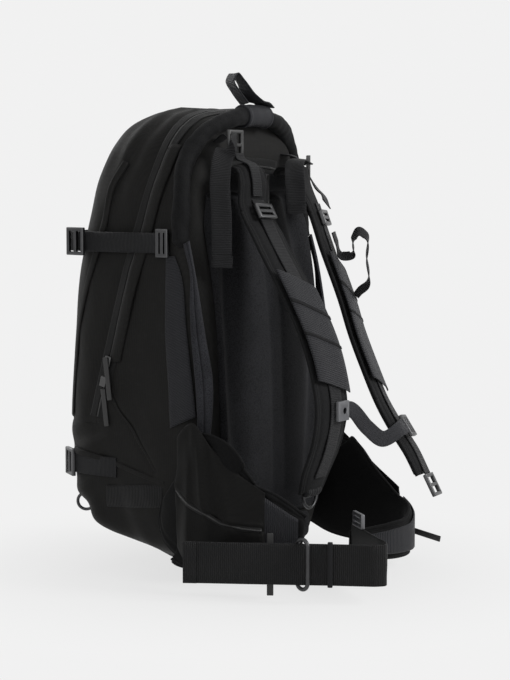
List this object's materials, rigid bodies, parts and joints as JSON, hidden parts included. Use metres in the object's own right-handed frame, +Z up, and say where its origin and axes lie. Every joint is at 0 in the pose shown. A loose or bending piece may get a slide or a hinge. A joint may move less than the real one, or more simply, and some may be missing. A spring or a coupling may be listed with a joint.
{
  "type": "ski backpack",
  "caption": "Ski touring backpack with padded rim, foam back panel, shoulder straps, sternum strap, hip belt with pockets, zipped front panel and compression straps.",
  "frame": {"origin": "middle of the flat base panel, on the surface that the pack stands on", "axes": "+Z up, towards the haul loop; -Y towards the wearer (harness side), +Y towards the front panel; +X to the right when facing the harness"},
  "size_m": [0.4024, 0.4605, 0.628],
  "materials": {
    "shell_fabric": "matte woven nylon",
    "base_fabric": "coated coarse weave",
    "back_foam": "moulded foam with smooth knit face",
    "pad_fabric": "smooth knit over foam",
    "webbing": "ribbed webbing",
    "zip_tape": "coated tape",
    "frame_plastic": "moulded",
    "stay_metal": "mill",
    "lining": "light woven lining",
    "dark_metal": "satin anodised gunmetal",
    "plate_metal": "satin anodised grey",
    "slider_metal": "satin black",
    "puller_cord": "cord with moulded end"
  },
  "bodies": {
    "pack": {"main_shell": "shell_fabric", "base_panel": "base_fabric", "back_panel": "back_foam", "rim_roll": "shell_fabric", "rim_sleeve": "shell_fabric", "shoulder_yoke": "pad_fabric", "lumbar_pad": "back_foam", "frame_sheet": "frame_plastic", "frame_stays": "stay_metal", "hydration_sleeve": "lining", "edge_strips": "zip_tape", "side_strips": "webbing", "zip_tape": "zip_tape", "side_bands": "webbing", "ski_straps": "webbing", "ski_buckles": "dark_metal", "ski_loops": "webbing", "strap_anchors": "webbing", "lifter_anchors": "webbing", "lifter_buckles": "dark_metal", "lifter_tail_left": "webbing"},
    "front_panel": {"front_panel": "shell_fabric", "panel_zip_tape": "zip_tape", "tool_sleeve": "lining", "compression_strap_left": "webbing", "compression_strap_right": "webbing", "compression_buckles": "dark_metal", "compression_hooks": "dark_metal"},
    "haul_loop": {"haul_loop": "webbing"},
    "shoulder_left": {"shoulder_pad_left": "pad_fabric", "strap_webbing_left": "webbing", "strap_slide_left": "dark_metal", "lifter_tape_left": "webbing"},
    "shoulder_right": {"shoulder_pad_right": "pad_fabric", "strap_webbing_right": "webbing", "strap_slide_right": "dark_metal", "lifter_tape_right": "webbing", "lifter_tail_right": "webbing"},
    "sternum": {"sternum_clip": "plate_metal", "sternum_webbing": "webbing", "sternum_buckle": "dark_metal"},
    "d_ring": {"d_ring": "dark_metal"},
    "strap_buckle": {"strap_buckle": "dark_metal"},
    "belt": {"belt_wing_left": "pad_fabric", "belt_wing_right": "pad_fabric", "belt_pocket_left": "shell_fabric", "belt_pocket_right": "shell_fabric", "belt_webbing": "webbing", "belt_hook": "dark_metal"},
    "belt_link": {"belt_link": "dark_metal"},
    "belt_keeper": {"belt_keeper": "webbing"},
    "zip_slider_upper": {"zip_slider_upper": "slider_metal"},
    "zip_slider_lower": {"zip_slider_lower": "slider_metal"},
    "zip_puller_upper": {"zip_puller_upper": "puller_cord"},
    "zip_puller_lower": {"zip_puller_lower": "puller_cord"},
    "pocket_puller_left": {"pocket_puller_left": "puller_cord"},
    "pocket_puller_right": {"pocket_puller_right": "puller_cord"},
    "back_puller_left": {"back_puller_left": "puller_cord"},
    "back_puller_right": {"back_puller_right": "puller_cord"}
  },
  "joints": [
    {"name": "front_panel_hinge", "type": "hinge", "parent": "pack", "child": "front_panel", "pos_m": [0, 0.1821, 0.194], "axis": [-1, 0, 0], "range_deg": [0, 75]},
    {"name": "haul_loop_swing", "type": "hinge", "parent": "pack", "child": "haul_loop", "pos_m": [0, -0.023, 0.58076], "axis": [1, 0, 0], "range_deg": [-12, 85]},
    {"name": "shoulder_swing_left", "type": "hinge", "parent": "pack", "child": "shoulder_left", "pos_m": [0, -0.04, 0.506], "axis": [-1, 0, 0], "range_deg": [0, 30], "deforming": ["lifter_tape_left"]},
    {"name": "shoulder_swing_right", "type": "hinge", "parent": "pack", "child": "shoulder_right", "pos_m": [0, -0.04, 0.506], "axis": [-1, 0, 0], "range_deg": [0, 30], "deforming": ["lifter_tape_right"]},
    {"name": "sternum_slide", "type": "slide", "parent": "shoulder_left", "child": "sternum", "axis": [-0.0437, -0.0125, -0.999], "range_m": [-0.005, 0.005]},
    {"name": "d_ring_swing", "type": "hinge", "parent": "shoulder_left", "child": "d_ring", "pos_m": [-0.079, -0.156, 0.1165], "axis": [1, 0, 0], "range_deg": [-45, 45]},
    {"name": "strap_buckle_swing", "type": "hinge", "parent": "shoulder_right", "child": "strap_buckle", "pos_m": [0.07503, -0.23734, 0.12809], "axis": [0.9676, 0.2452, -0.0601], "range_deg": [-12, 12]},
    {"name": "belt_swing", "type": "hinge", "parent": "pack", "child": "belt", "pos_m": [0, -0.006, 0.148], "axis": [-1, 0, 0], "range_deg": [0, 15]},
    {"name": "belt_link_swing", "type": "hinge", "parent": "belt", "child": "belt_link", "pos_m": [-0.15027, -0.18189, 0.047], "axis": [0, 0, 1], "range_deg": [-5, 5]},
    {"name": "belt_keeper_slide", "type": "slide", "parent": "belt", "child": "belt_keeper", "axis": [0.4608, -0.8875, 0], "range_m": [-0.015, 0.02]},
    {"name": "zip_slide_upper", "type": "slide", "parent": "pack", "child": "zip_slider_upper", "axis": [0, -0.2607, 0.9654], "range_m": [0, 0.08]},
    {"name": "zip_slide_lower", "type": "slide", "parent": "pack", "child": "zip_slider_lower", "axis": [0, -0.2607, 0.9654], "range_m": [-0.03, 0]},
    {"name": "zip_puller_upper_swing", "type": "hinge", "parent": "zip_slider_upper", "child": "zip_puller_upper", "pos_m": [-0.158, 0.09214, 0.2795], "axis": [0, 1, 0], "range_deg": [0, 75]},
    {"name": "zip_puller_lower_swing", "type": "hinge", "parent": "zip_slider_lower", "child": "zip_puller_lower", "pos_m": [-0.154, 0.09916, 0.2406], "axis": [0, 1, 0], "range_deg": [0, 60]},
    {"name": "pocket_puller_left_swing", "type": "hinge", "parent": "belt", "child": "pocket_puller_left", "pos_m": [-0.1512, -0.1448, 0.08], "axis": [-0.4756, 0.8797, 0], "range_deg": [0, 12]},
    {"name": "pocket_puller_right_swing", "type": "hinge", "parent": "belt", "child": "pocket_puller_right", "pos_m": [0.1677, -0.136, 0.042], "axis": [0, 0, 1], "range_deg": [0, 60]},
    {"name": "back_puller_left_swing", "type": "hinge", "parent": "pack", "child": "back_puller_left", "pos_m": [-0.0025, -0.035, 0.507], "axis": [-1, 0, 0], "range_deg": [0, 30]},
    {"name": "back_puller_right_swing", "type": "hinge", "parent": "pack", "child": "back_puller_right", "pos_m": [0.0135, -0.035, 0.507], "axis": [-1, 0, 0], "range_deg": [0, 30]}
  ],
  "couplings": [
    {"joint": "shoulder_swing_right", "follows": "shoulder_swing_left", "ratio": 1}
  ]
}
